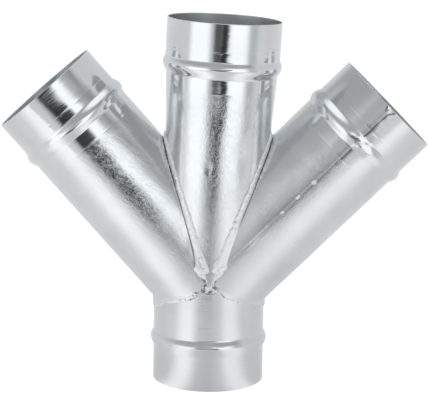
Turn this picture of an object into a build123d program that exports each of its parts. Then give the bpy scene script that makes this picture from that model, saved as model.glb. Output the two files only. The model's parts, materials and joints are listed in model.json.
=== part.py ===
from build123d import *
from math import atan2, cos, degrees, radians, sin
import os

# Four-way duct connector of welded sheet metal, in millimetres.
# It stands on the rim of its outlet, with Z up and the two side branches in the XZ plane.

# Sheet and tube sizes, radii measured to the outside
SHEET = 1.0
INLET_RADIUS = 50.8
OUTLET_RADIUS = INLET_RADIUS - SHEET

# The four axes meet in one point above the outlet, and each inlet ends at its own distance from it
AXES_HEIGHT = 96.3
CENTRE_LENGTH = 230.4
LEFT_LENGTH = 223.6
RIGHT_LENGTH = 221.9

# Angles from straight up, positive towards the right branch
CENTRE_ANGLE = 2.6
LEFT_ANGLE = -41.7
RIGHT_ANGLE = 44.9

# Rolled stop bead round each end
BEAD_FROM_RIM = 41.0
OUTLET_BEAD_FROM_RIM = 38.7
BEAD_WIDTH = 15.0
BEAD_CROWN = 5.0
BEAD_HEIGHT = 2.7

# Neck of the centre inlet, pressed oval where it goes down between the branches
NECK_SHRINK = 1.4
NECK_PINCH = 3.9
NECK_LEFT_OVAL = 0.3
NECK_TOP_RADIUS = INLET_RADIUS - NECK_SHRINK
NECK_HALF_WIDTH = INLET_RADIUS - NECK_PINCH
NECK_HALF_DEPTH = OUTLET_RADIUS + 2 * SHEET
TONGUE_DROP = 4.0

# Lapped edges of the branches
LAP_ON_NECK = 2.0
LAP_START = 8.0
LIP_HEIGHT = 0.8
LIP_AT_FRONT = 5.5
LIP_AT_CROTCH = 1.5
LAP_ON_OUTLET = 8.0
LAP_END_GAP = 9.0

# Lap seam along each tube, up to its bead: past it the spigot is round, so that a duct slides on
SEAM_RISE = 0.8
SEAM_ARC = 18.0
SEAM_LEAN = 62.0
SEAM_END = BEAD_FROM_RIM + BEAD_WIDTH / 2
OUTLET_SEAM_END = OUTLET_BEAD_FROM_RIM + BEAD_WIDTH / 2
FRONT = -90.0
BACK = 90.0

# Weld metal: long beads, the knots where four edges meet, and the tacks down each seam
WELD_WIDTH = 2.2
WELD_RISE = 1.6
WELD_GAP = 1.5
KNOT_WIDTH = 13.0
KNOT_TALL = 7.0
KNOT_RISE = 1.6
KNOT_EDGE = 1.0
TACK_RADIUS = 2.8
TACK_RISE = 1.2
TACK_SIDES = 8
TACK_EDGE = 0.8
TACK_PITCH = 19.0
BODY_TACK = 92.0
OUTLET_TACK = 62.0
TACK_END_GAP = 26.0

FAR = 600.0
MEETING_POINT = (0, 0, AXES_HEIGHT)


def axis_at(angle):
    """Place whose Z runs up an axis from the meeting point at this angle from straight up."""
    return Location(MEETING_POINT, (0, angle, 0))


def half_space(normal_angle, distance):
    """Everything farther than distance from the meeting point along a normal in the XZ plane."""
    return axis_at(normal_angle) * Pos(0, 0, distance + FAR / 2) * Box(FAR, FAR, FAR)


def rolled_tube(radius, start, end, below=None, rim=BEAD_FROM_RIM):
    """Solid round bar from start to end along Z, with the outward stop bead this far from its rim."""
    below = below or radius
    bead = end - rim
    lower = (below, bead - BEAD_WIDTH / 2)
    upper = (radius, bead + BEAD_WIDTH / 2)
    foot = [(below, start)] if start < lower[1] else []
    side = Polyline([upper, (radius, end), (0, end), (0, start)] + foot + [lower])
    shoulders = [(radius + BEAD_HEIGHT, bead + half) for half in (-BEAD_CROWN / 2, BEAD_CROWN / 2)]
    crown = Polyline([lower] + shoulders + [upper])
    return revolve(Plane.XZ * make_face(side + crown), Axis.Z)


def seam_strip(bar, start, end, seam):
    """Strip of a bar's outline, set outwards: the outer end of the rolled sheet, lying on the inner one."""
    shift = SEAM_RISE / cos(radians(SEAM_LEAN))
    lean = radians(seam + SEAM_LEAN)
    far_edge = (FAR * cos(radians(SEAM_ARC)), -FAR * sin(radians(SEAM_ARC)))
    wedge = extrude(Plane.XY.offset(start) * Polygon((0, 0), far_edge, (FAR, 0), align=None), end - start)
    return (Pos(shift * cos(lean), shift * sin(lean), 0) * bar) & (Rot(0, 0, seam) * wedge)


def seamed(bar, start, end, seam):
    """A bar with its lap seam."""
    return bar + seam_strip(bar, start, end, seam)


def oval(half_depth, half_width):
    """Two half circles, front and back, joined by straight sides."""
    return SlotOverall(2 * half_depth, 2 * half_width, rotation=90)


def neck_section(growth):
    """Section of the pressed neck, grown outwards by this much."""
    return oval(NECK_HALF_DEPTH + growth, NECK_HALF_WIDTH + growth)


def centre_duct(growth):
    """Centre tube as a filled bar along Z: round to its bead, then pressed oval down to its tongues."""
    round_top = oval(NECK_TOP_RADIUS + NECK_LEFT_OVAL + growth, NECK_TOP_RADIUS + growth)
    pressed = Plane.XY.offset(OVAL_TOP) * neck_section(growth)
    taper = loft([pressed, Plane.XY.offset(NECK_TOP + BEAD_WIDTH / 4) * round_top], ruled=True)
    spigot = rolled_tube(INLET_RADIUS + growth, NECK_TOP, CENTRE_LENGTH, NECK_TOP_RADIUS + growth)
    return neck(growth, -TONGUE_DROP) + taper + spigot


def neck(growth, bottom):
    """Oval lower part of the centre tube as a filled bar, grown outwards by this much."""
    return extrude(Plane.XY.offset(bottom) * neck_section(growth), OVAL_TOP - bottom)


def crotch_distance(branch_angle):
    """Distance up the centre axis to where a branch's upper edge meets the side of the neck."""
    between = radians(abs(branch_angle - CENTRE_ANGLE))
    return (INLET_RADIUS + NECK_HALF_WIDTH * cos(between)) / sin(between)


def side_of(branch_angle):
    """1 for a branch on the right, -1 for one on the left."""
    return -1 if branch_angle < 0 else 1


def mitre_angle(branch_angle):
    """Angle from straight up of the line from the meeting point to a crotch."""
    half = degrees(atan2(NECK_HALF_WIDTH, crotch_distance(branch_angle)))
    return CENTRE_ANGLE + side_of(branch_angle) * half


def to_centre(branch_angle):
    """Angle from straight up of the mitre plane's normal, from the branch towards the centre tube."""
    return mitre_angle(branch_angle) - 90 * side_of(branch_angle)


NECK_TOP = CENTRE_LENGTH - BEAD_FROM_RIM - BEAD_WIDTH / 2
CROTCH_HEIGHT = max(crotch_distance(LEFT_ANGLE), crotch_distance(RIGHT_ANGLE))
OVAL_TOP = CROTCH_HEIGHT + 4 * LAP_ON_NECK
NARROWEST = min(abs(mitre_angle(angle) - CENTRE_ANGLE) for angle in (LEFT_ANGLE, RIGHT_ANGLE))
WELD_START = (LAP_ON_NECK + WELD_WIDTH) / sin(radians(NARROWEST)) + WELD_GAP
BRANCHES = {"left": (LEFT_ANGLE, LEFT_LENGTH, BACK), "right": (RIGHT_ANGLE, RIGHT_LENGTH, FRONT)}

# Filled outlines of the outlet and the centre tube, outside and inside
above_outlet = half_space(LEFT_ANGLE / 2, 0) + half_space(RIGHT_ANGLE / 2, 0)
outlet_duct = rolled_tube(OUTLET_RADIUS, -OUTLET_RADIUS, AXES_HEIGHT, rim=OUTLET_BEAD_FROM_RIM)
outlet_hollow = rolled_tube(OUTLET_RADIUS - SHEET, -OUTLET_RADIUS, AXES_HEIGHT, rim=OUTLET_BEAD_FROM_RIM)
outlet_duct = seamed(outlet_duct, -OUTLET_RADIUS, AXES_HEIGHT - OUTLET_SEAM_END, BACK)
outlet_bar = axis_at(180) * outlet_duct - above_outlet
outlet_bore = axis_at(180) * outlet_hollow
centre_bar = axis_at(CENTRE_ANGLE) * seamed(centre_duct(0), -TONGUE_DROP, CENTRE_LENGTH - SEAM_END, BACK)
centre_bore = axis_at(CENTRE_ANGLE) * centre_duct(-SHEET)


def branch_bar(angle, length, seam):
    """Side tube as a filled bar, with its lap seam."""
    return axis_at(angle) * seamed(rolled_tube(INLET_RADIUS, 0, length), 0, length - SEAM_END, seam)


def branch_bore(angle, length):
    """Inside of a side tube as a filled bar."""
    return axis_at(angle) * rolled_tube(INLET_RADIUS - SHEET, 0, length)


def beside(angle):
    """Everything on a branch's own side of the gap between the two hems."""
    return Pos(side_of(angle) * (LAP_END_GAP + FAR / 2), 0, 0) * Box(FAR, FAR, FAR)


def side_branch(angle, length, seam):
    """Side tube whose raised lip laps over the neck and whose hem laps over the outlet."""
    inwards = to_centre(angle)
    turn = side_of(angle) * degrees(atan2(LIP_AT_FRONT - LIP_AT_CROTCH, CROTCH_HEIGHT))
    lip = axis_at(angle) * extrude(Circle(INLET_RADIUS + LIP_HEIGHT), length / 2)
    lip = lip & half_space(inwards + turn, -LIP_AT_FRONT) & half_space(0, LAP_START)
    tube = (branch_bar(angle, length, seam) + lip) & half_space(angle / 2, 0)
    tube = tube - half_space(inwards, 0)
    lap = axis_at(CENTRE_ANGLE) * neck(SHEET, LAP_START) - half_space(inwards, LAP_ON_NECK)
    hem = axis_at(0) * Cylinder(INLET_RADIUS, 2 * OUTLET_RADIUS) - half_space(angle / 2, 0)
    hem = hem & half_space(angle / 2, -LAP_ON_OUTLET)
    hem = hem & beside(angle)
    return tube + lap + hem - branch_bore(angle, length) - centre_bar - outlet_bar - outlet_bore


def weld_disc(bar, normal_angle, start):
    """Disc cut out of a bar beside a lapped edge: trimmed by the sheets, it leaves a weld bead."""
    disc = bar & half_space(normal_angle, start)
    return disc - half_space(normal_angle, start + WELD_WIDTH)


def neck_weld(angle):
    """Weld from the front over the crotch to the back, along a branch's lap on the neck."""
    bar = axis_at(CENTRE_ANGLE) * neck(WELD_RISE, WELD_START)
    disc = weld_disc(bar, to_centre(angle), LAP_ON_NECK)
    return disc - axis_at(CENTRE_ANGLE) * neck(0, 0) - centre_bar


def outlet_weld(angle):
    """Weld under a branch, along the edge of its hem on the outlet."""
    bar = axis_at(0) * Cylinder(OUTLET_RADIUS + WELD_RISE, 2 * OUTLET_RADIUS)
    disc = weld_disc(bar, angle / 2, -LAP_ON_OUTLET - WELD_WIDTH)
    return (disc & beside(angle)) - outlet_bar - outlet_bore


def tack(angle, radius, along, seam):
    """Tack weld on a lap seam, a flat-topped lump with sloping sides."""
    foot = Plane.YZ.offset(radius - SEAM_RISE) * RegularPolygon(TACK_RADIUS, TACK_SIDES)
    lump = extrude(foot, SEAM_RISE + TACK_RISE)
    lump = chamfer(lump.faces().sort_by(Axis.X)[-1].edges(), TACK_EDGE)
    return axis_at(angle) * Rot(0, 0, seam) * Pos(0, 0, along) * lump


def tack_places(length, first):
    """Distances along an axis for the tacks below the bead."""
    count = int((length - TACK_END_GAP - first) / TACK_PITCH) + 1
    return [length - first - TACK_PITCH * step for step in range(count)]


def knot(side):
    """Lump of weld over the end of the neck's tongue, where the four tubes meet."""
    face = scale(RegularPolygon(1, TACK_SIDES), (KNOT_WIDTH / 2, KNOT_TALL / 2, 1))
    lump = extrude(Plane.XZ * face, NECK_HALF_DEPTH + KNOT_RISE)
    lump = chamfer(lump.faces().sort_by(Axis.Y)[0].edges(), KNOT_EDGE)
    lump = lump if side == "front" else mirror(lump, Plane.XZ)
    return Pos(0, 0, AXES_HEIGHT - TONGUE_DROP / 2) * lump


# The pieces, each cut to sit on what it touches
bars = {branch: branch_bar(*sizes) for branch, sizes in BRANCHES.items()}
pieces = {"outlet_tube": outlet_bar - outlet_bore, "centre_tube": centre_bar - centre_bore}
for branch, (angle, length, seam) in BRANCHES.items():
    pieces["centre_tube"] -= branch_bore(angle, length)
    tube = side_branch(angle, length, seam)
    pieces[branch + "_tube"] = tube
    pieces[branch + "_neck_weld"] = neck_weld(angle) - tube
    pieces[branch + "_outlet_weld"] = outlet_weld(angle) - tube
for side in ("front", "back"):
    lump = knot(side) - centre_bar - outlet_bar - bars["left"] - bars["right"]
    pieces[side + "_knot_weld"] = lump - pieces["left_tube"] - pieces["right_tube"]

# The tacks, row by row: axis angle, tube radius, length, first tack, seam and tube under them
seams = {
    "left": (LEFT_ANGLE, INLET_RADIUS, LEFT_LENGTH, BODY_TACK, BACK, bars["left"]),
    "right": (RIGHT_ANGLE, INLET_RADIUS, RIGHT_LENGTH, BODY_TACK, FRONT, bars["right"]),
    "centre": (CENTRE_ANGLE, INLET_RADIUS, CENTRE_LENGTH, BODY_TACK, BACK, centre_bar),
    "outlet": (180, OUTLET_RADIUS, AXES_HEIGHT, OUTLET_TACK, BACK, outlet_bar),
}
for name, (angle, radius, length, first, seam, bar) in seams.items():
    for number, along in enumerate(tack_places(length, first), 1):
        pieces[f"{name}_tack_{number}"] = tack(angle, radius + SEAM_RISE, along, seam) - bar

os.makedirs("parts", exist_ok=True)
for name, piece in pieces.items():
    export_step(piece, f"parts/{name}.step")
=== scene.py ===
import json
import math

import bmesh
import bpy
import numpy as np
from mathutils import Matrix, Vector, noise


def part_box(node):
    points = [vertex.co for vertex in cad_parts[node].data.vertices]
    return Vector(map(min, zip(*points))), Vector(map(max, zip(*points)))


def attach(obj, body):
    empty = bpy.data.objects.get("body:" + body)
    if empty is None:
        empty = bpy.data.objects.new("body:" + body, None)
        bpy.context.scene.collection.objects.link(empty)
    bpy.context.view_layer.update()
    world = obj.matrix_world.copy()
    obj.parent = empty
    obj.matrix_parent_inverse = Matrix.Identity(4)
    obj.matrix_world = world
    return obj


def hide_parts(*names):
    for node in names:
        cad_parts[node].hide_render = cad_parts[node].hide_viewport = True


# Four-way duct connector of welded galvanised sheet, in metres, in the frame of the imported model
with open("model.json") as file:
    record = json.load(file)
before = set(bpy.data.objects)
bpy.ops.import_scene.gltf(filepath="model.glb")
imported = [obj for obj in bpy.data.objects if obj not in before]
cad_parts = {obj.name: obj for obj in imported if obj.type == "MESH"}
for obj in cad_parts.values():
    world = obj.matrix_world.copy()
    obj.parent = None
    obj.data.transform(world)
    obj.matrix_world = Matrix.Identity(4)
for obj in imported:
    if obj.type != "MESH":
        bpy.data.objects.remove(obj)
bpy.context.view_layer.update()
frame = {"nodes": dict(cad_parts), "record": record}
mounts = {mount["name"]: mount for mount in frame["record"]["mounts"]}
MM = 0.001

# Stop beads, flattened where the lap seam runs through them, and roll lines at these distances from them
BEAD_WIDTH = 15 * MM
BEAD_HEIGHT = 2.6 * MM
BEAD_SHARPNESS = 1.5
BEAD_CRUSH = 0.5
CRUSH_WIDTH = 7 * MM
ROLL_LINES = (15.5 * MM, -20 * MM)
ROLL_LINE_DEPTH = 0.06 * MM
ROLL_LINE_WIDTH = 0.7 * MM

# Rounding of the sheet's cut edges
RIM_NOSE = 0.3 * MM

# Neck of the centre tube, pressed oval between the branches
NECK_SHRINK = 1.4 * MM
NECK_PINCH = 3.9 * MM
NECK_OVAL_TOP = 134 * MM
TONGUE_DROP = 4 * MM

# Laps of the branches on the neck: the least cosine at which a column faces it, their reach past the joint,
# where they start from the front, and how soon they are at full width
ON_NECK_FROM = 0.02
FLANGE_REACH = 1.2 * MM
FLANGE_FOOT = math.radians(3.6184)
EDGE_FADE = 4 * MM
NARROWEST = 0.04

# Hems of the branches on the outlet, deeper at the sides, from HEM_END beside the knots
HEM_DROP = 4.4 * MM
HEM_SIDE_DROP = {"left": 8.6 * MM, "right": 5.8 * MM}
HEM_SIDE = 38 * MM
HEM_END = 8 * MM
HEM_FADE = 7 * MM

# Lap seams
RIGHT_SEAM = math.radians(-4)
SEAM_RISE = 0.16 * MM
SEAM_ON_SPIGOT = 0.08 * MM
SEAM_BLEND = 2 * MM
SEAM_ARC = math.radians(18)
SEAM_STEP = math.radians(0.7)

# Where an inlet's lap seam stands open for a short way: place from the bead, length and height
OPEN_SEAM = (-118 * MM, 9 * MM, 0.55 * MM)

# Unevenness of the rolled sheet, and of the metal drawn by the welds' heat, and where it settles to round
SHEET_WAVE = 0.14 * MM
HEAT_WAVE = 0.45 * MM
HEAT_REACH = 22 * MM
WAVE_SIZE = 38 * MM
HEAT_WAVE_SIZE = 16 * MM
SETTLE_AT_BEND = 8 * MM
SETTLE_AT_RIM = 12 * MM

# Small bumps, dents and creases: turn from the front in degrees, then in millimetres the distance from the
# bead towards the rim, the size round the tube and along it, and the height
DENTS = {
    "right": [
        (1, -1.5, 2.6, 2.6, 0.7), (8, 1.5, 2.2, 2.2, -0.6), (-6, 3.5, 2.4, 2.4, 0.5), (3, 6, 2.6, 2.6, -0.5),
        (-4, 41, 3.0, 3.0, -0.9), (-2, 33, 2.0, 2.0, 0.4), (-3, 25, 1.5, 1.5, 0.3), (14, -4, 3.5, 3.5, 0.4),
        (-30, -24, 9, 9, -0.5), (-38, -45, 12, 12, -0.5), (-20, -60, 7, 25, -0.3),
    ],
    "centre": [
        (-7, -86, 2.4, 4.0, -0.5), (-5, -89, 1.5, 2.0, 0.4), (30, -75, 14, 14, -0.6),
        (62, -30, 9, 9, -0.4), (-52, 12, 3.0, 4.0, 0.15), (51, 12, 3.0, 4.0, 0.15),
    ],
    "left": [
        (38, 16, 7, 7, -0.35), (44, -14, 8, 8, -0.25), (12, 20, 8, 8, 0.25), (25, -60, 14, 14, -0.4),
        (43, -37, 0.9, 22, 0.10),
    ],
    "outlet": [(2, 0, 5, 5, -0.4), (-12, 1, 4, 4, 0.25)],
}

# Painted shade along the crease of each lap, where it meets its branch, from this far above the meeting
# point
CREASE_SHADE_WIDTH = 0.9 * MM
CREASE_SHADE_FROM = {"left": 6 * MM, "right": 34 * MM}
CREASE_SHADE_FADE = 20 * MM

# Mesh density: rows crowd towards a branch's bend, and a lap or hem has a row close to its edge
COLUMNS = 224
BODY_ROWS = 44
BODY_CROWD = 1.3
ROW_PITCH = 3 * MM
BEAD_ROWS = 22
BEAD_SPREAD = 0.55
LINE_ROWS = 7
LINE_SPREAD = 2
RIM_ROWS = np.array([1.5, 0.6, 0.25, 0]) * MM
EDGE_ROWS = 8
EDGE_ROUND = 0.04
CLEAR_OF_BEND = 4 * MM
CLEAR_OF_FOOT = 3 * MM

# Offset of each use of the noise
SEEDS = {"branch": 3, "heat": 7, "tube": 5, "wobble": 11, "width": 23, "height": 31, "grain": 41}

FRONT = np.array([0.0, -1.0, 0.0])


def vector(name, key):
    """A position or direction stated by a mount of the record."""
    return np.array(mounts[name][key], float)


def mount_radius(name):
    """Radius of a round mount, in metres."""
    return mounts[name]["dims"]["r_mm"] * MM


def meeting_point():
    """Where the left branch's axis crosses the outlet's."""
    pos, axis = vector("left_spigot", "pos_m"), vector("left_spigot", "axis")
    return pos - axis * (pos[0] / axis[0])


MEET = meeting_point()
SHEET = mount_radius("outlet_spigot") - mount_radius("outlet_inside")
NECK_TOP_RADIUS = mount_radius("centre_spigot") - NECK_SHRINK
NECK_HALF_WIDTH = mount_radius("centre_spigot") - NECK_PINCH
NECK_HALF_DEPTH = mount_radius("outlet_spigot") + 2 * SHEET
NECK_STRAIGHT = NECK_HALF_DEPTH - NECK_HALF_WIDTH


class Tube:
    """One round tube: its axis, radius and length from the meeting point, and where its seam runs."""

    def __init__(self, name, seam):
        spigot = name + "_spigot"
        self.name = name
        self.axis = vector(spigot, "axis") / np.linalg.norm(vector(spigot, "axis"))
        self.across = np.array([self.axis[2], 0, -self.axis[0]])
        self.radius = mount_radius(spigot)
        span = mounts[spigot]["dims"]["length_mm"] * MM
        self.length = (vector(spigot, "pos_m") - MEET) @ self.axis
        if name != "outlet":
            self.length += span / 2
        self.bead = self.length - span - BEAD_WIDTH / 2
        self.rim = self.length - RIM_NOSE
        self.seam = seam
        self.angles = seam + np.concatenate(
            [np.linspace(0, 2 * math.pi, COLUMNS, endpoint=False), [2 * math.pi - SEAM_STEP]]
        )

    def outward(self, angle):
        """Unit vectors out of the tube at these angles, measured from the front towards the tube's side."""
        return np.cos(angle)[..., None] * FRONT + np.sin(angle)[..., None] * self.across

    def relief(self, angle, along):
        """Height of the stop bead, flattened at the seam, and of the roll lines over the plain tube."""
        off = along - self.bead
        bump = np.clip(1 - (2 * off / BEAD_WIDTH) ** 2, 0, 1) ** BEAD_SHARPNESS
        from_seam = self.radius * np.abs(np.mod(angle - self.seam + math.pi, 2 * math.pi) - math.pi)
        bump = bump * (1 - BEAD_CRUSH * np.exp(-((from_seam / CRUSH_WIDTH) ** 2)))
        lines = sum(np.exp(-(((off - at) / ROLL_LINE_WIDTH) ** 2)) for at in ROLL_LINES)
        return BEAD_HEIGHT * bump - ROLL_LINE_DEPTH * lines

    def lap(self, angle, along):
        """Height of the lap seam: a step at the sheet's outer end that runs out round the tube."""
        past = np.mod(angle - self.seam, 2 * math.pi)
        share = np.clip(1 - past / SEAM_ARC, 0, 1)
        below = 1 / (1 + np.exp((along - self.bead) / SEAM_BLEND))
        place, length, height = OPEN_SEAM
        opening = height * np.exp(-(((along - self.bead - place) / length) ** 2))
        return share * (SEAM_ON_SPIGOT + (SEAM_RISE - SEAM_ON_SPIGOT) * below + share ** 2 * opening)

    def dents(self, angle, along):
        """Height of the small bumps and dents."""
        height = np.zeros_like(along)
        for turn, place, wide, tall, rise in DENTS[self.name]:
            arc = self.radius * (np.mod(angle - math.radians(turn) + math.pi, 2 * math.pi) - math.pi)
            far = (arc / (wide * MM)) ** 2 + ((along - self.bead - place * MM) / (tall * MM)) ** 2
            height = height + rise * MM * np.exp(-far)
        return height

    def rows(self, clear):
        """Distances along the axis for the rows of mesh above the trimmed part."""
        plain = np.arange(clear, self.rim, ROW_PITCH)
        bead = self.bead + BEAD_WIDTH * np.linspace(-BEAD_SPREAD, BEAD_SPREAD, BEAD_ROWS)
        line = self.bead + ROLL_LINE_WIDTH * np.linspace(-LINE_SPREAD, LINE_SPREAD, LINE_ROWS)
        lines = [line + at for at in ROLL_LINES]
        near_rim = self.rim - RIM_ROWS
        taken = np.sort(np.concatenate([bead, *lines, near_rim]))
        free = [at for at in plain if np.min(np.abs(taken - at)) > ROW_PITCH / 2]
        rows = np.sort(np.concatenate([free, taken]))
        return rows[(rows >= clear) & (rows <= self.rim)]


tubes = {
    "outlet": Tube("outlet", math.pi),
    "centre": Tube("centre", math.pi),
    "left": Tube("left", math.pi),
    "right": Tube("right", RIGHT_SEAM),
}
CENTRE = tubes["centre"]


def wave(points, size, seed):
    """Smooth noise from -1 to 1 at these points."""
    flat = points.reshape(-1, 3) / size + seed
    return np.array([noise.noise(Vector(p)) for p in flat]).reshape(points.shape[:-1])


def normals(grid):
    """Unit normals of a grid of points that closes in its first direction."""
    round_about = np.roll(grid, -1, axis=0) - np.roll(grid, 1, axis=0)
    up = np.gradient(grid, axis=1)
    cross = np.cross(round_about, up)
    return cross / np.linalg.norm(cross, axis=2, keepdims=True)


def mesh_object(name, verts, faces, uvs=None, crease_shade=None):
    """New smooth-shaded mesh object."""
    mesh = bpy.data.meshes.new(name)
    mesh.from_pydata(verts.reshape(-1, 3).tolist(), [], faces.tolist())
    mesh.polygons.foreach_set("use_smooth", np.ones(len(mesh.polygons), bool))
    if uvs is not None:
        layer = mesh.uv_layers.new(name="sheet")
        layer.data.foreach_set("uv", uvs.astype(np.float32).ravel())
    # The painted shade in the laps' creases, kept on the points for the material
    if crease_shade is not None:
        layer = mesh.attributes.new("crease_shade", "FLOAT", "POINT")
        layer.data.foreach_set("value", crease_shade.astype(np.float32).ravel())
    mesh.update()
    obj = bpy.data.objects.new(name, mesh)
    bpy.context.scene.collection.objects.link(obj)
    return obj


def sheet_metal(name, grid, u, v, crease_shade):
    """Closed sheet of the metal's thickness from its outer surface, with a length-true UV map."""
    out = normals(grid)
    centre = grid.mean(axis=(0, 1))
    if np.sum(out[:, -1] * (grid[:, -1] - centre)) < 0:
        out = -out
    inner = grid - SHEET * out
    tangent_top = grid[:, -1] - grid[:, -2]
    tangent_top /= np.linalg.norm(tangent_top, axis=1, keepdims=True)
    top = (grid[:, -1] + inner[:, -1]) / 2 + RIM_NOSE * tangent_top
    tangent_low = grid[:, 0] - grid[:, 1]
    tangent_low /= np.linalg.norm(tangent_low, axis=1, keepdims=True) + 1e-9
    low = (grid[:, 0] + inner[:, 0]) / 2 + RIM_NOSE * tangent_low
    loop = np.concatenate([grid, top[:, None], inner[:, ::-1], low[:, None]], axis=1)
    loop_v = np.concatenate([v, v[:, -1:], v[:, ::-1], v[:, :1]], axis=1)
    columns, rows = loop.shape[:2]
    i, j = np.meshgrid(np.arange(columns), np.arange(rows), indexing="ij")
    ni, nj = (i + 1) % columns, (j + 1) % rows
    faces = np.stack([i * rows + j, ni * rows + j, ni * rows + nj, i * rows + nj], axis=-1).reshape(-1, 4)
    u_next = np.append(u[1:], u[0] + 2 * math.pi * tubes[name.split("_")[0]].radius)
    corners_u = np.stack([u[i], u_next[i], u_next[i], u[i]], axis=-1)
    corners_v = np.stack([loop_v[i, j], loop_v[ni, j], loop_v[ni, nj], loop_v[i, nj]], axis=-1)
    # The painted crease shade is carried to the outer face and the lower edge only
    crease_shade = np.concatenate([crease_shade, 0 * crease_shade[:, -1:], 0 * crease_shade[:, ::-1], crease_shade[:, :1]], axis=1)
    obj = mesh_object(name, loop, faces, np.stack([corners_u, corners_v], axis=-1).reshape(-1, 2), crease_shade)
    inside = np.broadcast_to(np.arange(rows) > grid.shape[1], (columns, rows)).ravel()
    obj.data.polygons.foreach_set("material_index", inside.astype(int))
    return obj


def oval_reach(turn, half, straight):
    """Distance from the axis to an oval of two half circles, front and back, joined by straight sides."""
    sine, cosine = np.abs(np.sin(turn)), np.abs(np.cos(turn))
    arcs = straight * cosine + np.sqrt(half ** 2 - (straight * sine) ** 2)
    return np.where(half * cosine < straight * sine, half / np.maximum(sine, 0.1), arcs)


def neck_point(turn, height, growth=0.0):
    """Point on the pressed neck, by its turn from the front and height along the centre axis."""
    reach = oval_reach(turn, NECK_HALF_WIDTH + growth, NECK_STRAIGHT)
    return MEET + reach[..., None] * CENTRE.outward(turn) + height[..., None] * CENTRE.axis


def side_of(tube):
    """-1 for a branch on the left of the photo and 1 on the right."""
    return math.copysign(1, tube.axis[0])


def to_centre(tube):
    """Unit normal, towards the centre tube, of the plane through the meeting point and a crotch."""
    between = math.acos(tube.axis @ CENTRE.axis)
    crotch = (tube.radius + NECK_HALF_WIDTH * math.cos(between)) / math.sin(between)
    half = math.atan2(NECK_HALF_WIDTH, crotch)
    return -side_of(tube) * math.cos(half) * CENTRE.across + math.sin(half) * CENTRE.axis


def edge_height(tube, turn, reach):
    """Height on the neck at which the branch's lap ends, for a reach past the plane of the joint."""
    normal = to_centre(tube)
    x = oval_reach(turn, NECK_HALF_WIDTH, NECK_STRAIGHT) * np.sin(turn)
    return (reach - x * (CENTRE.across @ normal)) / (CENTRE.axis @ normal)


def branch_foot(tube):
    """For each column: distance along the axis of the branch's bend, and whether it is on the neck."""
    side = side_of(tube)
    out = tube.outward(tube.angles)
    depth = tube.radius * np.abs(np.cos(tube.angles))
    half = NECK_HALF_WIDTH + SHEET
    past = np.clip(depth - NECK_STRAIGHT, 0, None)
    reach = np.sqrt(np.clip(half ** 2 - past ** 2, 0, None))
    on_neck = (reach - side * tube.radius * (out @ CENTRE.across)) / (side * (tube.axis @ CENTRE.across))
    mitre = tube.axis + np.array([0, 0, 1])
    mitre /= np.linalg.norm(mitre)
    on_outlet = -tube.radius * (out @ mitre) / (tube.axis @ mitre)
    at_neck = (out @ to_centre(tube) > ON_NECK_FROM) & (on_neck > on_outlet)
    return np.where(at_neck, on_neck, on_outlet), at_neck


def smooth(x):
    """Smooth step from 0 to 1."""
    x = np.clip(x, 0, 1)
    return x * x * (3 - 2 * x)


def widening(x):
    """Share of a lap's full width, from its narrowest at its start."""
    return NARROWEST + (1 - NARROWEST) * smooth(x)


def flange_turns(tube, bend, at_neck):
    """Turn round the neck and height of each column's bend and of its lap's edge."""
    side = side_of(tube)
    rel = bend - MEET
    x, height = side * (rel @ CENTRE.across), rel @ CENTRE.axis
    depth = rel @ FRONT
    turn = np.arctan2(x, depth)
    lowest = turn[at_neck & (depth > 0)].min()
    fold = np.minimum(turn, math.pi - turn)
    edge_fold = math.pi / 2 - (math.pi / 2 - fold) * (math.pi / 2 - FLANGE_FOOT) / (math.pi / 2 - lowest)
    edge = np.where(turn < math.pi / 2, edge_fold, math.pi - edge_fold)
    return side * turn, height, side * edge, edge_height(tube, side * edge, FLANGE_REACH)


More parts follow.
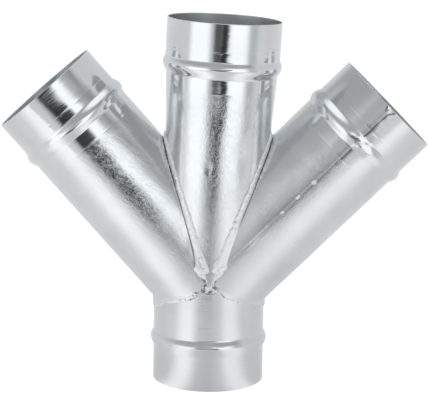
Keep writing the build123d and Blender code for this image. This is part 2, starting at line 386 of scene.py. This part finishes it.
def branch_surface(tube):
    """Outer surface of a side branch: hem or lap, bend, body, bead and spigot, column by column."""
    foot, at_neck = branch_foot(tube)
    out = tube.outward(tube.angles)
    clear = foot.max() + CLEAR_OF_BEND
    share = np.linspace(0, 1, BODY_ROWS, endpoint=False)
    low = foot[:, None] + (clear - foot[:, None]) * share[None] ** BODY_CROWD
    high = np.broadcast_to(tube.rows(clear), (len(foot), len(tube.rows(clear))))
    along = np.concatenate([low, high], axis=1)
    angle = np.broadcast_to(tube.angles[:, None], along.shape)
    base = MEET + along[..., None] * tube.axis + tube.radius * out[:, None]
    near = np.exp(-(along - foot[:, None]) / HEAT_REACH)
    from_bend = smooth((along - foot[:, None]) / SETTLE_AT_BEND)
    settle = from_bend * smooth((tube.length - along) / SETTLE_AT_RIM)
    swell = SHEET_WAVE * wave(base, WAVE_SIZE, SEEDS["branch"] * tube.axis[0])
    swell += HEAT_WAVE * near * wave(base, HEAT_WAVE_SIZE, SEEDS["heat"] + tube.axis[0])
    rise = tube.relief(angle, along) + (tube.lap(angle, along) + swell) * settle
    rise += tube.dents(angle, along) * from_bend
    body = base + rise[..., None] * out[:, None]
    bend = body[:, 0]

    # The lap on the neck and the hem on the outlet, from their edges up to the bend
    step = np.append(0, np.linspace(EDGE_ROUND, 1, EDGE_ROWS, endpoint=False))
    turn, height, edge, edge_at = flange_turns(tube, bend, at_neck)
    corner = np.abs(bend[:, 0] - MEET[0])
    fade = widening((foot - foot[at_neck].min()) / EDGE_FADE)[:, None] * (1 - step)
    turns = turn[:, None] + (edge - turn)[:, None] * fade
    heights = height[:, None] + (edge_at - height)[:, None] * fade
    lap = neck_point(turns, heights, SHEET)
    aside = smooth((corner - HEM_SIDE) / (tube.radius - HEM_SIDE))
    drop = HEM_DROP + (HEM_SIDE_DROP[tube.name] - HEM_DROP) * aside
    drop = drop * widening((corner - HEM_END) / HEM_FADE)
    hem = bend[:, None] - drop[:, None, None] * (1 - step)[None, :, None] * np.array([0, 0, 1])
    skirt = np.where(at_neck[:, None, None], lap, hem)
    grid = np.concatenate([skirt, body], axis=1)
    v = np.concatenate([foot[:, None] - HEM_DROP * (1 - step), along], axis=1)
    # Painted shade in the crease between the lap and the branch, starting at a height above the meeting
    # point
    above = smooth((grid[:, :1, 2] - MEET[2] - CREASE_SHADE_FROM[tube.name]) / CREASE_SHADE_FADE)
    crease_shade = np.exp(-(((v - foot[:, None]) / CREASE_SHADE_WIDTH) ** 2)) * at_neck[:, None] * above
    return grid, v, at_neck, crease_shade


def plain_surface(tube, section, foot):
    """Outer surface of a tube without laps: section gives its points from angle and distance."""
    clear = foot.max() + CLEAR_OF_FOOT
    share = np.linspace(0, 1, BODY_ROWS, endpoint=False)
    low = foot[:, None] + (clear - foot[:, None]) * share
    high = np.broadcast_to(tube.rows(clear), (len(foot), len(tube.rows(clear))))
    along = np.concatenate([low, high], axis=1)
    angle = np.broadcast_to(tube.angles[:, None], along.shape)
    base = section(angle, along)
    out = tube.outward(angle)
    settle = smooth((tube.length - along) / SETTLE_AT_RIM)
    swell = SHEET_WAVE * wave(base, WAVE_SIZE, SEEDS["tube"] * tube.axis[2]) * settle
    rise = tube.relief(angle, along) + tube.dents(angle, along) + tube.lap(angle, along) * settle + swell
    return base + rise[..., None] * out, along


def centre_section(angle, along):
    """Centre tube: round to its bead, then pressed oval down to the tongues."""
    press = smooth((CENTRE.bead - along) / (CENTRE.bead - NECK_OVAL_TOP))
    shoulder = smooth((CENTRE.bead + BEAD_WIDTH / 2 - along) / BEAD_WIDTH)
    radius = CENTRE.radius + (NECK_TOP_RADIUS - CENTRE.radius) * shoulder
    half = radius + (NECK_HALF_WIDTH - NECK_TOP_RADIUS) * press
    reach = oval_reach(angle, half, NECK_STRAIGHT * press)
    return MEET + reach[..., None] * CENTRE.outward(angle) + along[..., None] * CENTRE.axis


def outlet_section(angle, along):
    """Outlet tube: a plain cylinder."""
    tube = tubes["outlet"]
    return MEET + tube.radius * tube.outward(angle) + along[..., None] * tube.axis


def centre_foot():
    """Where each column of the centre tube ends, under the laps of the branches."""
    turn = CENTRE.angles
    left = edge_height(tubes["left"], turn, -FLANGE_REACH)
    right = edge_height(tubes["right"], turn, -FLANGE_REACH)
    return np.maximum(np.maximum(left, right), -TONGUE_DROP)


def outlet_foot():
    """Where each column of the outlet ends, along the two mitres under the branches."""
    tube = tubes["outlet"]
    x = tube.radius * tube.outward(tube.angles)[:, 0]
    falls = []
    for name in ("left", "right"):
        mitre = tubes[name].axis + np.array([0, 0, 1])
        falls.append(x * mitre[0] / mitre[2])
    return np.maximum(falls[0], falls[1])


# The four tubes
pieces = {}
laps = {}
for name in ("left", "right"):
    tube = tubes[name]
    grid, v, at_neck, crease_shade = branch_surface(tube)
    laps[name] = (grid, at_neck)
    pieces[name] = sheet_metal(name + "_duct", grid, tube.angles * tube.radius, v, crease_shade)
grid, v = plain_surface(CENTRE, centre_section, centre_foot())
pieces["centre"] = sheet_metal("centre_duct", grid, CENTRE.angles * CENTRE.radius, v, 0 * v)
outlet = tubes["outlet"]
grid, v = plain_surface(outlet, outlet_section, outlet_foot())
pieces["outlet"] = sheet_metal("outlet_duct", grid, outlet.angles * outlet.radius, v, 0 * v)


# Weld beads: half width and height, and their share of both where they are thinner
NECK_WELD = (2.8 * MM, 1.0 * MM)
HEM_WELD = {"left": (3.4 * MM, 1.6 * MM), "right": (1.2 * MM, 0.8 * MM)}
NECK_WELD_FROM = 6 * MM
THIN_AT_KNOT = 0.75
KNOT_REACH = 18 * MM
THIN_AT_SIDE = 0.35
HEM_WELD_REACH = 14 * MM
WELD_SINK = 0.7 * MM
WELD_TAPER = 1.2
WELD_END = 0.01
WELD_STEP = 0.7 * MM
WELD_SIDES = 14

# Lumps and wobble of the weld beads
LUMP_SIZE = 3.2 * MM
WIDTH_LUMPS = 0.35
HEIGHT_LUMPS = 0.6
WOBBLE = 0.7 * MM
WOBBLE_SIZE = 8 * MM
GRAIN = 0.22 * MM
GRAIN_SIZE = 1.4 * MM

# Knots where four edges meet, and spots on the seams, flatter low down: length, width and height
KNOT = (7 * MM, 1.5 * MM, 4.5 * MM)
KNOT_SINK = 0.6 * MM
KNOT_LIFT = 2 * MM
SPOT = (2.6 * MM, 1.6 * MM, 0.5 * MM)
SPOT_FULL = 120 * MM
SPOT_FLATTEST = 0.6
BALL_STEPS = 4
COARSE_LUMPS = (1.6, 0.35)
FINE_LUMPS = (4.5, 0.14)


def resample(points, step):
    """Points spread evenly along a line of points."""
    lengths = np.append(0, np.cumsum(np.linalg.norm(np.diff(points, axis=0), axis=1)))
    at = np.linspace(0, lengths[-1], max(int(lengths[-1] / step), 4))
    return np.stack([np.interp(at, lengths, points[:, k]) for k in range(3)], axis=1)


def neck_fullness(line):
    """Share of a neck weld's full size along its line: thinner near the knots."""
    return THIN_AT_KNOT + (1 - THIN_AT_KNOT) * smooth((line[:, 2] - MEET[2]) / KNOT_REACH)


def hem_fullness(line):
    """Share of a hem weld's full size along its line: thinner away from the knots."""
    past = (np.abs(line[:, 0]) - HEM_END) / HEM_WELD_REACH
    return THIN_AT_SIDE + (1 - THIN_AT_SIDE) * np.exp(-np.clip(past, 0, None))


def weld_bead(name, line, half_width, height, fullness):
    """Lumpy bead of weld along a line outside the tubes."""
    line = resample(line, WELD_STEP)
    full = fullness(line)
    along = np.gradient(line, axis=0)
    along /= np.linalg.norm(along, axis=1, keepdims=True)
    out = (line - MEET) * np.array([1.0, 1.0, 0.0])
    out -= (np.sum(out * along, axis=1, keepdims=True)) * along
    out /= np.linalg.norm(out, axis=1, keepdims=True)
    beside = np.cross(along, out)
    line = line + beside * (WOBBLE * wave(line, WOBBLE_SIZE, SEEDS["wobble"]))[:, None] - WELD_SINK * out
    turn = np.linspace(0, 2 * math.pi, WELD_SIDES, endpoint=False)
    ends = np.minimum(np.arange(len(line)), np.arange(len(line))[::-1]) * WELD_STEP
    taper = full * np.sqrt(smooth(ends / (WELD_TAPER * half_width)) + WELD_END ** 2)
    width = half_width * taper * (1 + WIDTH_LUMPS * wave(line, LUMP_SIZE, SEEDS["width"]))
    tall = height * taper * (1 + HEIGHT_LUMPS * wave(line, LUMP_SIZE, SEEDS["height"]))
    ring = (np.cos(turn)[None, :, None] * beside[:, None] * width[:, None, None]
            + np.sin(turn)[None, :, None] * out[:, None] * tall[:, None, None])
    verts = line[:, None] + ring
    verts += GRAIN * wave(verts, GRAIN_SIZE, SEEDS["grain"])[..., None] * out[:, None]
    rows, columns = verts.shape[:2]
    i, j = np.meshgrid(np.arange(rows - 1), np.arange(columns), indexing="ij")
    near, far = i * columns, (i + 1) * columns
    nj = (j + 1) % columns
    faces = np.stack([near + j, near + nj, far + nj, far + j], axis=-1)
    return mesh_object(name, verts, faces.reshape(-1, 4))


def runs(mask):
    """Index lists of the unbroken runs of a closed mask."""
    start = int(np.argmin(mask))
    order = np.roll(np.arange(len(mask)), -start)
    found, current = [], []
    for index in order:
        if mask[index]:
            current.append(index)
        elif current:
            found.append(current)
            current = []
    return found + ([current] if current else [])


for name in ("left", "right"):
    grid, at_neck = laps[name]
    edge = grid[max(runs(at_neck), key=len), 0]
    edge = edge[edge[:, 2] > MEET[2] + NECK_WELD_FROM]
    ends = [MEET + np.array([0, math.copysign(NECK_HALF_DEPTH, y), KNOT_LIFT]) for y in edge[[0, -1], 1]]
    edge = np.concatenate([ends[:1], edge, ends[1:]])
    pieces[name + "_neck_weld"] = weld_bead(name + "_neck_bead", edge, *NECK_WELD, neck_fullness)
    beside = ~at_neck & (np.abs(grid[:, 0, 0]) > HEM_END + HEM_FADE / 4)
    hem = grid[max(runs(beside), key=len), 0]
    pieces[name + "_outlet_weld"] = weld_bead(name + "_hem_bead", hem, *HEM_WELD[name], hem_fullness)


def lump(name, place, size, seed):
    """Blob of weld metal: a ball pushed about by noise and pressed to its size."""
    mesh = bpy.data.meshes.new(name)
    ball = bmesh.new()
    bmesh.ops.create_icosphere(ball, subdivisions=BALL_STEPS, radius=1)
    for vert in ball.verts:
        for (scale, share), shift in ((COARSE_LUMPS, (seed, 0, 0)), (FINE_LUMPS, (0, seed, 0))):
            vert.co *= 1 + share * noise.noise(vert.co * scale + Vector(shift))
    ball.to_mesh(mesh)
    ball.free()
    mesh.polygons.foreach_set("use_smooth", np.ones(len(mesh.polygons), bool))
    mesh.transform(Matrix.Translation(place) @ Matrix.Diagonal((*size, 1)))
    obj = bpy.data.objects.new(name, mesh)
    bpy.context.scene.collection.objects.link(obj)
    return obj


for name, face in (("front", -1), ("back", 1)):
    place = Vector(MEET) + Vector((0, face * (NECK_HALF_DEPTH - KNOT_SINK), -TONGUE_DROP / 2))
    pieces[name + "_knot_weld"] = lump(name + "_knot", place, KNOT, face)

for node in sorted(frame["nodes"]):
    if "_tack_" in node:
        tube = tubes[node.split("_")[0]]
        low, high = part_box(node)
        along = (np.array(low + high) / 2 - MEET) @ tube.axis
        out = tube.outward(np.array(tube.seam))
        side = np.cross(out, tube.axis)
        place = MEET + along * tube.axis + tube.radius * out
        flat = np.clip(along / SPOT_FULL, SPOT_FLATTEST, 1)
        size = (SPOT[0] * flat, SPOT[1] * flat, SPOT[2] * flat ** 2)
        pieces[node] = lump(node.replace("tack", "spot"), (0, 0, 0), size, along / MM)
        frame_of_spot = Matrix((tube.axis, side, out)).transposed().to_4x4()
        pieces[node].data.transform(Matrix.Translation(place) @ frame_of_spot)

for name, piece in pieces.items():
    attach(piece, "root")
    stands_for = name if name in frame["nodes"] else name + "_tube"
    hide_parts(stands_for)


# Noises of the materials: stretch in each direction, scale per metre, detail, roughness and distortion
MOTTLE_NOISE = ((1, 0.5, 1), 230, 4, 0.62, 1.2)
SCRIBBLE_NOISE = ((1, 0.6, 1), 170, 2, 0.5, 2.5)
ROLLING_NOISE = ((0.02, 1, 1), 800, 2, 0.6, 0)
STREAK_NOISE = ((0.12, 1, 1), 300, 3, 0.6, 0)
CLOUD_NOISE = ((1, 1, 1), 30, 2, 0.5, 0.4)
GRAIN_NOISE = ((1, 1, 1), 900, 3, 0.6, 0)
BURN_NOISE = ((1, 1, 1), 300, 3, 0.65, 0)

# Zinc: where the body starts below the bead, where the welds' heat has dulled it, and its colours;
# a bead this far below the meeting point makes all of a tube look like its spigot
BODY_FROM_BEAD = (16 * MM, 26 * MM)
HEATED = (120 * MM, 40 * MM)
ALL_SPIGOT = -1.0
CLOUD_EDGES = (0.35, 0.7)
CLOUD_SHADE = 0.93
# Painted shade in the creases of the laps: its share and its near-black colour
CREASE_SHADE_SHARE = 0.9
CREASE_SHADE_COLOUR = (0.05, 0.05, 0.055, 1)
ZINC = (0.79, 0.80, 0.81)
DULL_ZINC = (0.735, 0.745, 0.76)
DARK_ZINC = (0.70, 0.72, 0.73)

# Zinc: what the cloud, the body and the heat add to its roughness, and the noises to its bumps
CLOUD_DULL = 0.05
BODY_DULL = 0.03
HEAT_DULL = 0.13
SPIGOT_MOTTLE = 0.2
SCRIBBLE_WIDTH = 0.035
SCRIBBLE_SHARE = 0.16
SPIGOT_STREAKS = 0.05
ZINC_BUMP = 1 * MM

# Weld metal: its two colours, and how far from the meeting point and how much more it is burnt at the knots
BURNT = (0.22, 0.215, 0.21, 1)
BRIGHT = (0.92, 0.925, 0.93, 1)
KNOT_RANGE = (53.4 * MM, 51.6 * MM)
KNOT_BURN = 0.17
WELD_BUMP = 0.5 * MM


def node_tree(material):
    """Empty node tree of a material with its output node."""
    material.use_nodes = True
    tree = material.node_tree
    tree.nodes.clear()
    return tree, tree.nodes.new("ShaderNodeOutputMaterial")


def add(tree, kind, inputs=None, **settings):
    """Adds a node, sets its settings and fills its inputs with values or other nodes' outputs."""
    node = tree.nodes.new(kind)
    for key, value in settings.items():
        setattr(node, key, value)
    for key, value in (inputs or {}).items():
        if isinstance(value, bpy.types.NodeSocket):
            tree.links.new(value, node.inputs[key])
        else:
            node.inputs[key].default_value = value
    return node


def math_node(tree, operation, first, second=0.0):
    """Output of a math node."""
    node = add(tree, "ShaderNodeMath", {0: first, 1: second}, operation=operation)
    return node.outputs[0]


def noise_node(tree, place, stretch, scale, detail, rough, distortion):
    """Grey output of a noise texture, stretched in each direction."""
    place = add(tree, "ShaderNodeMapping", {"Vector": place, "Scale": stretch}).outputs["Vector"]
    found = add(tree, "ShaderNodeTexNoise", {
        "Vector": place, "Scale": scale, "Detail": detail, "Roughness": rough, "Distortion": distortion})
    return found.outputs["Fac"]


def ramp(tree, value, stops):
    """Colour ramp over grey stops, each a place and a grey level."""
    node = add(tree, "ShaderNodeValToRGB", {"Fac": value})
    elements = node.color_ramp.elements
    elements[0].position, elements[1].position = stops[0][0], stops[-1][0]
    for at, grey in stops[1:-1]:
        elements.new(at)
    for element, (at, grey) in zip(elements, stops):
        element.color = (grey, grey, grey, 1)
    return node.outputs["Color"]


def between(tree, value, low, high):
    """Smooth step of a value from 0 at low to 1 at high."""
    node = add(tree, "ShaderNodeMapRange", {
        "Value": value, "From Min": low, "From Max": high}, interpolation_type="SMOOTHSTEP")
    return node.outputs["Result"]


def product(tree, *values):
    """Product of several values."""
    found = values[0]
    for value in values[1:]:
        found = math_node(tree, "MULTIPLY", found, value)
    return found


def total(tree, *values):
    """Sum of several values."""
    found = values[0]
    for value in values[1:]:
        found = math_node(tree, "ADD", found, value)
    return found


def blend(tree, share, first, second):
    """Colour from the first to the second."""
    return add(tree, "ShaderNodeMix", {
        "Factor": share, "A": first, "B": second}, data_type="RGBA").outputs["Result"]


def metal(tree, output, height, distance, inputs):
    """Shader of a metal with bumps of this height."""
    bump = add(tree, "ShaderNodeBump", {"Height": height, "Distance": distance, "Strength": 1.0})
    shader = add(tree, "ShaderNodeBsdfPrincipled", {**inputs, "Normal": bump.outputs["Normal"]})
    tree.links.new(shader.outputs[0], output.inputs["Surface"])


def zinc(name, tint, bead, gloss, mottle, brush):
    """Galvanised sheet: glossy past the bead, more mottled and duller down towards the welds, and darkened
    with painted shade in the creases of the laps.
    """
    material = bpy.data.materials.new(name)
    tree, output = node_tree(material)
    uv = add(tree, "ShaderNodeUVMap", uv_map="sheet").outputs["UV"]
    down = add(tree, "ShaderNodeSeparateXYZ", {"Vector": uv}).outputs[1]
    body = between(tree, down, bead - BODY_FROM_BEAD[0], bead - BODY_FROM_BEAD[1])
    spigot = math_node(tree, "SUBTRACT", 1.0, body)
    heated = between(tree, down, *HEATED)
    cloud = noise_node(tree, uv, *CLOUD_NOISE)
    crease_shade = add(tree, "ShaderNodeAttribute", attribute_name="crease_shade").outputs["Fac"]
    cloudy = ramp(tree, cloud, [(CLOUD_EDGES[0], 0), (CLOUD_EDGES[1], 1)])
    shade = blend(tree, cloudy, (*[CLOUD_SHADE * c for c in tint], 1), (*tint, 1))
    # Painted shade: darkens the crease of each lap towards near black
    colour = blend(tree, product(tree, crease_shade, CREASE_SHADE_SHARE), shade, CREASE_SHADE_COLOUR)
    rough = total(tree, product(tree, cloud, CLOUD_DULL), product(tree, body, BODY_DULL),
                  product(tree, body, heated, HEAT_DULL), gloss)
    bent = noise_node(tree, uv, *SCRIBBLE_NOISE)
    off = math_node(tree, "ABSOLUTE", math_node(tree, "SUBTRACT", bent, 0.5))
    scribbles = between(tree, off, SCRIBBLE_WIDTH, 0.0)
    mottled = math_node(tree, "ADD", product(tree, body, mottle), SPIGOT_MOTTLE * mottle)
    rise = total(tree, product(tree, noise_node(tree, uv, *MOTTLE_NOISE), mottled),
                 product(tree, scribbles, body, SCRIBBLE_SHARE * mottle),
                 product(tree, noise_node(tree, uv, *STREAK_NOISE), spigot, SPIGOT_STREAKS),
                 product(tree, noise_node(tree, uv, *ROLLING_NOISE), brush))
    metal(tree, output, rise, ZINC_BUMP, {"Base Color": colour, "Metallic": 1.0, "Roughness": rough})
    return material


def weld_metal(name, dark_below, bright_above):
    """Lumpy weld under zinc paint, burnt dark in patches where a noise is low."""
    material = bpy.data.materials.new(name)
    tree, output = node_tree(material)
    place = add(tree, "ShaderNodeTexCoord").outputs["Object"]
    away = add(tree, "ShaderNodeVectorMath", {
        0: place, 1: (MEET[0], 0, MEET[2])}, operation="DISTANCE").outputs["Value"]
    near_knot = between(tree, away, *KNOT_RANGE)
    burn = noise_node(tree, place, *BURN_NOISE)
    clean = math_node(tree, "SUBTRACT", burn, product(tree, near_knot, KNOT_BURN))
    colour = blend(tree, ramp(tree, clean, [(dark_below, 0), (bright_above, 1)]), BURNT, BRIGHT)
    grain = noise_node(tree, place, *GRAIN_NOISE)
    metal(tree, output, grain, WELD_BUMP, {"Base Color": colour, "Metallic": 0.9, "Roughness": 0.3})
    return material


# Each weld metal: the levels of its noise below which it is burnt and above which it is bright
weld = weld_metal("weld", 0.26, 0.38)
knot = weld_metal("knot", 0.30, 0.48)

# Each zinc: its tint, where its bead is, its gloss, mottle and brush marks
sheets = {
    "outlet": zinc("outlet_zinc", DULL_ZINC, ALL_SPIGOT, 0.10, 0.06, 0.06),
    "centre": zinc("centre_zinc", ZINC, tubes["centre"].bead, 0.08, 0.11, 0.015),
    "left": zinc("left_zinc", ZINC, tubes["left"].bead, 0.08, 0.12, 0.015),
    "right": zinc("right_zinc", ZINC, tubes["right"].bead, 0.15, 0.11, 0.015),
}
inside = zinc("inside_zinc", DARK_ZINC, ALL_SPIGOT, 0.3, 0.1, 0.02)
for name, piece in pieces.items():
    piece.data.materials.append(sheets.get(name, knot if "knot" in name else weld))
    if name in tubes:
        piece.data.materials.append(inside)


# White studio: the floor ends in front of the object, and past it the room is dark between two bright areas
world = bpy.data.worlds.new("studio")
bpy.context.scene.world = world
world.use_nodes = True
tree = world.node_tree
tree.nodes.clear()
direction = add(tree, "ShaderNodeTexCoord").outputs["Generated"]
parts = add(tree, "ShaderNodeSeparateXYZ", {"Vector": direction})
x, y, z = parts.outputs
azimuth = math_node(tree, "ARCTAN2", x, math_node(tree, "MULTIPLY", y, -1.0))
azimuth = math_node(tree, "DEGREES", azimuth)
elevation = math_node(tree, "DEGREES", math_node(tree, "ARCSINE", z))


def step_at(tree, value, at, softness):
    """Soft step from 0 to 1 about a place, or from 1 to 0 for a negative softness."""
    return between(tree, value, at - softness, at + softness)


def lit_patch(tree, under, level, around, upwards, soft_around, soft_upwards):
    """Lays an even patch of light or dark over what is under it, between two azimuths and two elevations."""
    mask = product(tree, step_at(tree, azimuth, around[0], soft_around),
                   step_at(tree, azimuth, around[1], -soft_around),
                   step_at(tree, elevation, upwards[0], soft_upwards),
                   step_at(tree, elevation, upwards[1], -soft_upwards))
    return add(tree, "ShaderNodeMix", {"Factor": mask, "A": under, "B": level}).outputs["Result"]


def lit_spot(tree, under, level, middle, radii, lean, softness):
    """Lays a leaning oval of light or dark over what is under it."""
    across = math_node(tree, "SUBTRACT", azimuth, middle[0])
    upward = math_node(tree, "SUBTRACT", elevation, middle[1])
    cosine, sine = math.cos(math.radians(lean)), math.sin(math.radians(lean))
    squares = []
    for first, second, radius in ((cosine, sine, radii[0]), (-sine, cosine, radii[1])):
        part = math_node(tree, "ADD", math_node(tree, "MULTIPLY", across, first / radius),
                         math_node(tree, "MULTIPLY", upward, second / radius))
        squares.append(math_node(tree, "MULTIPLY", part, part))
    away = math_node(tree, "SQRT", math_node(tree, "ADD", *squares))
    mask = step_at(tree, away, 1, -softness)
    return add(tree, "ShaderNodeMix", {"Factor": mask, "A": under, "B": level}).outputs["Result"]


# Each patch: its level, from and to azimuth, from and to elevation, softness of its edges both ways
ROOM = 0.76
COOL = (0.965, 1.0, 1.025, 1)
WHITE = (1, 1, 1, 1)
PATCHES = [
    (0.46, (-200, 200), (24, 100), 12, 12),
    (1.20, (-200, 200), (62, 120), 10, 10),
    (0.58, (50, 70), (-16, 24), 7, 7),
    (0.34, (56, 80), (28, 60), 8, 8),
    (0.72, (70, 200), (8, 50), 10, 8),
    (1.28, (9, 48), (-15, 24), 10, 4),
    (1.30, (-70, -29), (-18, 12), 8, 5),
    (0.50, (-25, 0), (4, 34), 4, 4),
    (0.58, (-25, 3), (-14, 4), 5, 4),
    (0.56, (-13, 15), (-21, -12), 5, 4),
]
# Each spot: its level, middle, radii, lean and softness
SPOTS = [
    (0.10, (-12, -5), (8, 6), 0, 0.45),
    (0.22, (-1, -9.5), (6, 4), 0, 0.3),
    (0.03, (5.5, -1.5), (18.5, 5.2), 41, 0.3),
]
light = ROOM
for patch in PATCHES:
    light = lit_patch(tree, light, *patch)
for spot in SPOTS:
    light = lit_spot(tree, light, *spot)
seen = add(tree, "ShaderNodeLightPath").outputs["Is Camera Ray"]
shown = add(tree, "ShaderNodeMix", {"Factor": seen, "A": light, "B": 1.0}).outputs["Result"]
tone = blend(tree, seen, COOL, WHITE)
background = add(tree, "ShaderNodeBackground", {"Color": tone, "Strength": shown})
output = tree.nodes.new("ShaderNodeOutputWorld")
tree.links.new(background.outputs[0], output.inputs["Surface"])

# Floor: its brightness in the metal by bearing in degrees from the front, and its brightness to the camera
FLOOR_FRONT = -0.5
FLOOR_SIZE = 4.0
FLOOR_DROP = 0.1 * MM
FLOOR_LIGHT = [
    (-180, 0.6), (-100, 0.54), (-70, 0.6), (-50, 0.96), (-36, 0.98), (-18, 0.52), (0, 0.44),
    (18, 0.55), (33, 0.86), (48, 0.86), (68, 0.56), (100, 0.52), (180, 0.6),
]
FLOOR_SEEN = 0.88
PAPER = (0.32, 0.32, 0.32, 1)
floor_verts = np.array([(-FLOOR_SIZE, FLOOR_FRONT, -FLOOR_DROP), (FLOOR_SIZE, FLOOR_FRONT, -FLOOR_DROP),
                        (FLOOR_SIZE, FLOOR_SIZE, -FLOOR_DROP), (-FLOOR_SIZE, FLOOR_SIZE, -FLOOR_DROP)])
floor = mesh_object("floor", floor_verts, np.array([[0, 1, 2, 3]]))
material = bpy.data.materials.new("paper")
tree, output = node_tree(material)
geometry = add(tree, "ShaderNodeNewGeometry")
place = add(tree, "ShaderNodeSeparateXYZ", {"Vector": geometry.outputs["Position"]})
bearing = math_node(tree, "ARCTAN2", place.outputs[0], math_node(tree, "MULTIPLY", place.outputs[1], -1.0))
around = math_node(tree, "ADD", math_node(tree, "DIVIDE", bearing, 2 * math.pi), 0.5)
lit = ramp(tree, around, [((degrees + 180) / 360, grey) for degrees, grey in FLOOR_LIGHT])
paths = add(tree, "ShaderNodeLightPath").outputs
mirrored = math_node(tree, "MULTIPLY", lit, paths["Is Glossy Ray"])
strength = total(tree, mirrored, product(tree, paths["Is Camera Ray"], FLOOR_SEEN))
glow = add(tree, "ShaderNodeEmission", {"Color": WHITE, "Strength": strength})
paper = add(tree, "ShaderNodeBsdfDiffuse", {"Color": PAPER})
both = add(tree, "ShaderNodeAddShader", {0: glow.outputs[0], 1: paper.outputs[0]})
tree.links.new(both.outputs[0], output.inputs["Surface"])
floor.data.materials.append(material)


# Camera of the photo
CAMERA_PLACE = (-10.877 * MM, -1509.778 * MM, 465.487 * MM)
CAMERA_RIGHT = (0.99985795, -0.00622117, 0.01566426)
CAMERA_UP = (-0.01414145, 0.19600458, 0.98050101)
CAMERA_BACK = (-0.00917013, -0.98058325, 0.19588876)
PHOTO_WIDTH = 428
FOCAL_PIXELS = 1716.66
SENSOR_WIDTH = 36
camera = bpy.data.objects.new("camera", bpy.data.cameras.new("camera"))
camera.data.sensor_width = SENSOR_WIDTH
camera.data.lens = SENSOR_WIDTH * FOCAL_PIXELS / PHOTO_WIDTH
turned = Matrix((CAMERA_RIGHT, CAMERA_UP, CAMERA_BACK)).transposed()
camera.matrix_world = Matrix.Translation(CAMERA_PLACE) @ turned.to_4x4()
bpy.context.scene.collection.objects.link(camera)
bpy.context.scene.camera = camera
bpy.context.scene.view_settings.view_transform = "Standard"
